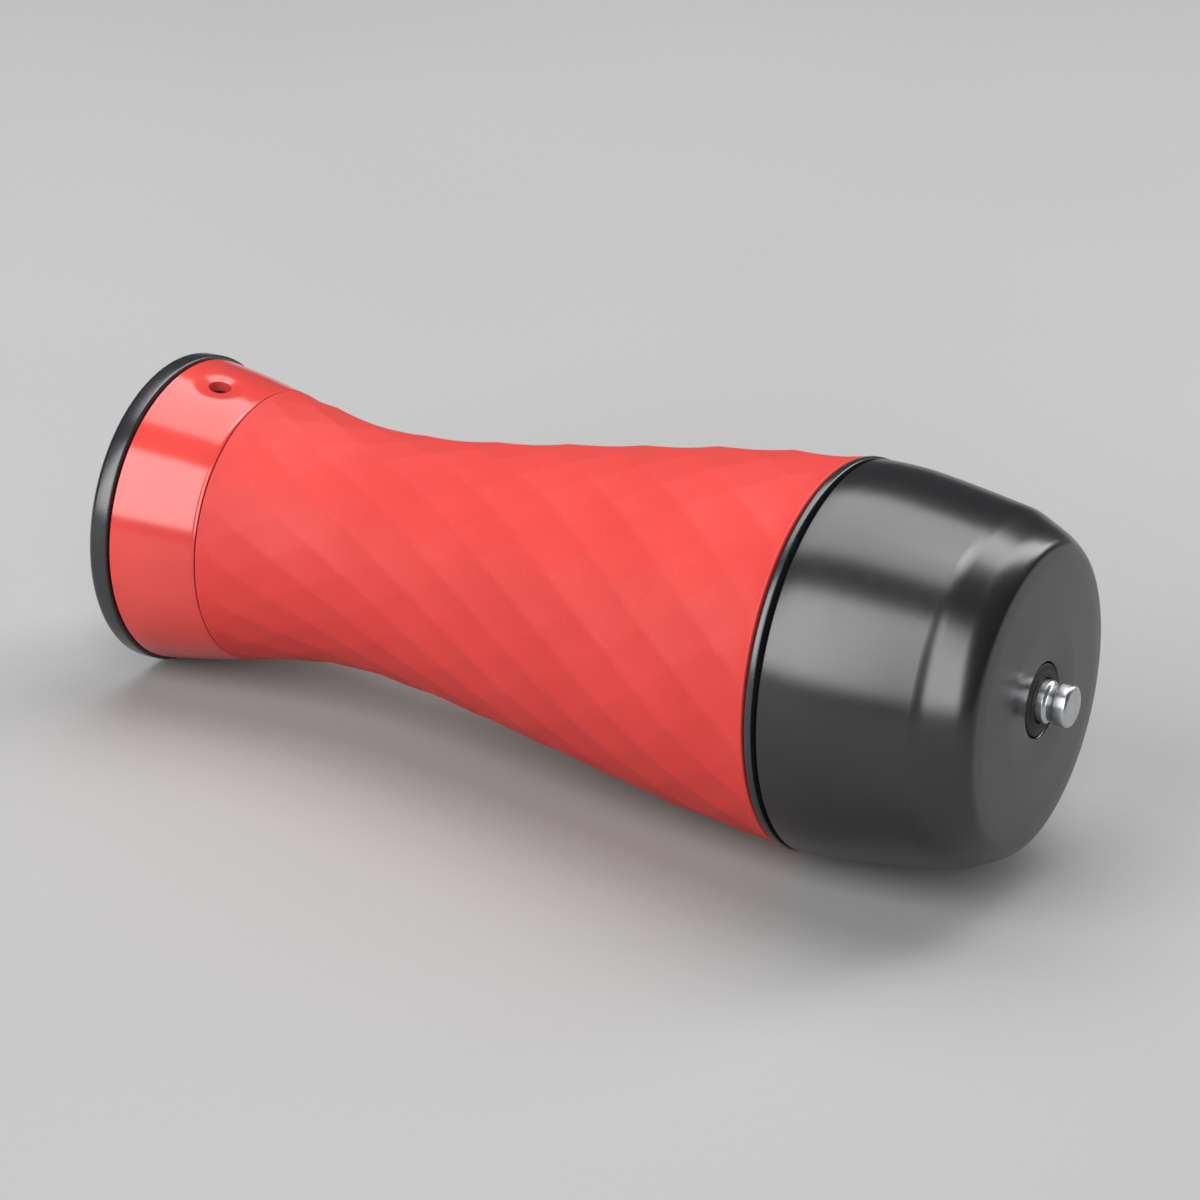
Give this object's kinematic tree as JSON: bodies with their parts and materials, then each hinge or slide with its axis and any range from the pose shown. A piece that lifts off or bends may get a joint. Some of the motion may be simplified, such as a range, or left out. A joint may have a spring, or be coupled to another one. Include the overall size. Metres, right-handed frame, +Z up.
{
  "type": "massage gun",
  "caption": "Cordless in-line percussive massage gun lying on its side: bottle-shaped red faceted grip, round black head with an output stem, and a base with a power button.",
  "frame": {"origin": "middle of the bounding box's underside, on the surface the tool lies on", "axes": "+X along the body towards the head, +Z up; the body's own axis rises 2.54 degrees towards the head, because the head is wider than the base"},
  "size_m": [0.2204, 0.084, 0.084],
  "materials": {
    "red_silicone": "matte moulded silicone",
    "red_gloss": "glossy moulded plastic",
    "black_satin": "satin moulded plastic",
    "black_gloss": "glossy moulded plastic",
    "black_rubber": "matte rubber",
    "grey_nylon": "matte moulded nylon",
    "pale_lens": "translucent diffuser",
    "cast_alloy": "die cast",
    "steel": "machined",
    "bronze": "sintered",
    "copper": "enamelled wire",
    "board_green": "solder mask",
    "cell_wrap": "shrink wrapped cell",
    "magnet": "plated magnet",
    "wire_red": "wire insulation",
    "wire_yellow": "wire insulation",
    "wire_black": "wire insulation"
  },
  "bodies": {
    "housing": {"grip_sleeve": "red_silicone", "inner_shell_left": "grey_nylon", "inner_shell_right": "grey_nylon", "head_shell": "black_satin", "seam_ring": "black_gloss", "stem_wiper": "black_rubber", "base_band": "red_gloss", "base_ring": "black_gloss", "base_cap": "black_satin", "battery_light_ring": "pale_lens", "base_board": "board_green", "power_switch": "steel", "charging_jack": "black_gloss", "cell_holder_rear": "grey_nylon", "cell_holder_front": "grey_nylon", "battery_cell_1": "cell_wrap", "battery_cell_2": "cell_wrap", "battery_cell_3": "cell_wrap", "charge_lead": "wire_red", "board_tray": "grey_nylon", "control_board": "board_green", "mechanism_frame": "cast_alloy", "guide_liner": "bronze", "frame_screw_1": "steel", "frame_screw_2": "steel", "frame_screw_3": "steel", "damper_1": "black_rubber", "damper_2": "black_rubber", "damper_3": "black_rubber", "damper_4": "black_rubber", "motor_stator": "steel", "motor_windings": "copper", "motor_bearing_upper": "steel", "motor_bearing_lower": "steel", "motor_lead_1": "wire_red", "motor_lead_2": "wire_yellow", "motor_lead_3": "wire_black"},
    "rotor": {"rotor_bell": "steel", "rotor_magnets": "magnet", "motor_shaft": "steel", "crank_disc": "steel", "crank_pin": "steel"},
    "rod": {"connecting_rod": "cast_alloy", "rod_bearing": "steel", "wrist_pin": "steel"},
    "plunger": {"plunger": "steel"},
    "button": {"power_button": "black_gloss"}
  },
  "joints": [
    {"name": "crank_spin", "type": "hinge", "parent": "housing", "child": "rotor", "pos_m": [0.04663, 0, 0.04151], "axis": [-0.0443, 0, 0.999], "continuous": true},
    {"name": "rod_pivot", "type": "hinge", "parent": "rotor", "child": "rod", "pos_m": [0.04063, 0, 0.04124], "axis": [-0.0443, 0, 0.999], "continuous": true},
    {"name": "plunger_slide", "type": "slide", "parent": "housing", "child": "plunger", "axis": [0.999, 0, 0.0443], "range_m": [0, 0.012]},
    {"name": "button_press", "type": "slide", "parent": "housing", "child": "button", "axis": [0.999, 0, 0.0443], "range_m": [0, 0.001], "stiffness_N_per_m": 2000}
  ],
  "couplings": [
    {"joint": "rod_pivot", "follows": "crank_spin", "ratio": -1}
  ]
}
